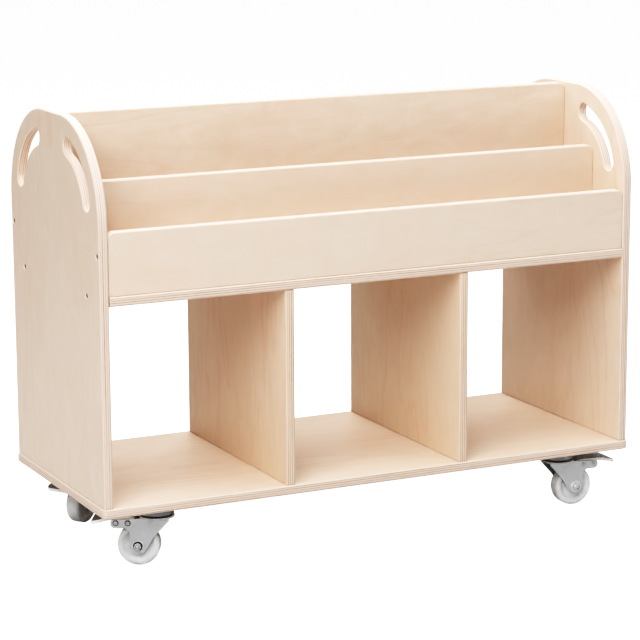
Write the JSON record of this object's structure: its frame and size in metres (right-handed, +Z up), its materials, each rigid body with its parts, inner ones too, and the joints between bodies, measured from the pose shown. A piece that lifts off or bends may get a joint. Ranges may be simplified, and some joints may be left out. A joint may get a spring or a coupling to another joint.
{
  "type": "mobile book cart",
  "caption": "double-sided plywood book cart with tiered book troughs over see-through cubbies, rounded side panels with handle slots and braked swivel casters",
  "frame": {"origin": "on the floor under the middle of the base board", "axes": "+X along the length to the right as seen from the front, -Y towards the front, +Z up"},
  "size_m": [0.9, 0.378, 0.6678],
  "materials": {
    "birch_plywood": "clear satin lacquer",
    "zinc": "zinc plated pressed steel",
    "pedal_zinc": "zinc plated pressed steel, smooth",
    "bright_steel": "bright zinc",
    "white_nylon": "moulded nylon",
    "grey_nylon": "moulded nylon"
  },
  "bodies": {
    "cabinet": {"base_board": "birch_plywood", "side_panel_left": "birch_plywood", "side_panel_right": "birch_plywood", "book_shelf": "birch_plywood", "divider_left": "birch_plywood", "divider_right": "birch_plywood", "centre_board": "birch_plywood", "front_middle_board": "birch_plywood", "rear_middle_board": "birch_plywood", "front_low_board": "birch_plywood", "rear_low_board": "birch_plywood", "front_left_plate": "zinc", "front_left_king_pin": "zinc", "front_right_plate": "zinc", "front_right_king_pin": "zinc", "rear_left_plate": "zinc", "rear_left_king_pin": "zinc", "rear_right_plate": "zinc", "rear_right_king_pin": "zinc"},
    "front_left_swivel": {"front_left_fork": "zinc", "front_left_ball_ring": "bright_steel", "front_left_axle_bolt": "bright_steel", "front_left_axle_nut": "bright_steel", "front_left_pedal_pin": "zinc", "front_left_stop_pin": "zinc"},
    "front_left_roller": {"front_left_wheel": "white_nylon"},
    "front_left_brake": {"front_left_brake_pedal": "pedal_zinc", "front_left_brake_shoe": "grey_nylon"},
    "front_right_swivel": {"front_right_fork": "zinc", "front_right_ball_ring": "bright_steel", "front_right_axle_bolt": "bright_steel", "front_right_axle_nut": "bright_steel", "front_right_pedal_pin": "zinc", "front_right_stop_pin": "zinc"},
    "front_right_roller": {"front_right_wheel": "white_nylon"},
    "front_right_brake": {"front_right_brake_pedal": "pedal_zinc", "front_right_brake_shoe": "grey_nylon"},
    "rear_left_swivel": {"rear_left_fork": "zinc", "rear_left_ball_ring": "bright_steel", "rear_left_axle_bolt": "bright_steel", "rear_left_axle_nut": "bright_steel", "rear_left_pedal_pin": "zinc", "rear_left_stop_pin": "zinc"},
    "rear_left_roller": {"rear_left_wheel": "white_nylon"},
    "rear_left_brake": {"rear_left_brake_pedal": "pedal_zinc", "rear_left_brake_shoe": "grey_nylon"},
    "rear_right_swivel": {"rear_right_fork": "zinc", "rear_right_ball_ring": "bright_steel", "rear_right_axle_bolt": "bright_steel", "rear_right_axle_nut": "bright_steel", "rear_right_pedal_pin": "zinc", "rear_right_stop_pin": "zinc"},
    "rear_right_roller": {"rear_right_wheel": "white_nylon"},
    "rear_right_brake": {"rear_right_brake_pedal": "pedal_zinc", "rear_right_brake_shoe": "grey_nylon"}
  },
  "joints": [
    {"name": "front_left_swivel_turn", "type": "hinge", "parent": "cabinet", "child": "front_left_swivel", "pos_m": [-0.3475, -0.1385, 0.07703], "axis": [0, 0, 1], "continuous": true},
    {"name": "front_left_wheel_roll", "type": "hinge", "parent": "front_left_swivel", "child": "front_left_roller", "pos_m": [-0.37002, -0.1255, 0.03173], "axis": [-0.5, -0.866, 0], "continuous": true},
    {"name": "front_left_brake_lift", "type": "hinge", "parent": "front_left_swivel", "child": "front_left_brake", "pos_m": [-0.38277, -0.11813, 0.06643], "axis": [0.5, 0.866, 0], "range_deg": [0, 12]},
    {"name": "front_right_swivel_turn", "type": "hinge", "parent": "cabinet", "child": "front_right_swivel", "pos_m": [0.3475, -0.1385, 0.07703], "axis": [0, 0, 1], "continuous": true},
    {"name": "front_right_wheel_roll", "type": "hinge", "parent": "front_right_swivel", "child": "front_right_roller", "pos_m": [0.37348, -0.13941, 0.03173], "axis": [0.0349, 0.9994, 0], "continuous": true},
    {"name": "front_right_brake_lift", "type": "hinge", "parent": "front_right_swivel", "child": "front_right_brake", "pos_m": [0.38821, -0.13992, 0.06643], "axis": [-0.0349, -0.9994, 0], "range_deg": [0, 12]},
    {"name": "rear_left_swivel_turn", "type": "hinge", "parent": "cabinet", "child": "rear_left_swivel", "pos_m": [-0.3475, 0.1385, 0.07703], "axis": [0, 0, 1], "continuous": true},
    {"name": "rear_left_wheel_roll", "type": "hinge", "parent": "rear_left_swivel", "child": "rear_left_roller", "pos_m": [-0.36771, 0.12214, 0.03173], "axis": [0.6293, -0.7771, 0], "continuous": true},
    {"name": "rear_left_brake_lift", "type": "hinge", "parent": "rear_left_swivel", "child": "rear_left_brake", "pos_m": [-0.37915, 0.11287, 0.06643], "axis": [-0.6293, 0.7771, 0], "range_deg": [0, 12]},
    {"name": "rear_right_swivel_turn", "type": "hinge", "parent": "cabinet", "child": "rear_right_swivel", "pos_m": [0.3475, 0.1385, 0.07703], "axis": [0, 0, 1], "continuous": true},
    {"name": "rear_right_wheel_roll", "type": "hinge", "parent": "rear_right_swivel", "child": "rear_right_roller", "pos_m": [0.3688, 0.12359, 0.03173], "axis": [0.5736, 0.8191, 0], "continuous": true},
    {"name": "rear_right_brake_lift", "type": "hinge", "parent": "rear_right_swivel", "child": "rear_right_brake", "pos_m": [0.38086, 0.11514, 0.06643], "axis": [-0.5736, -0.8191, 0], "range_deg": [0, 12]}
  ]
}
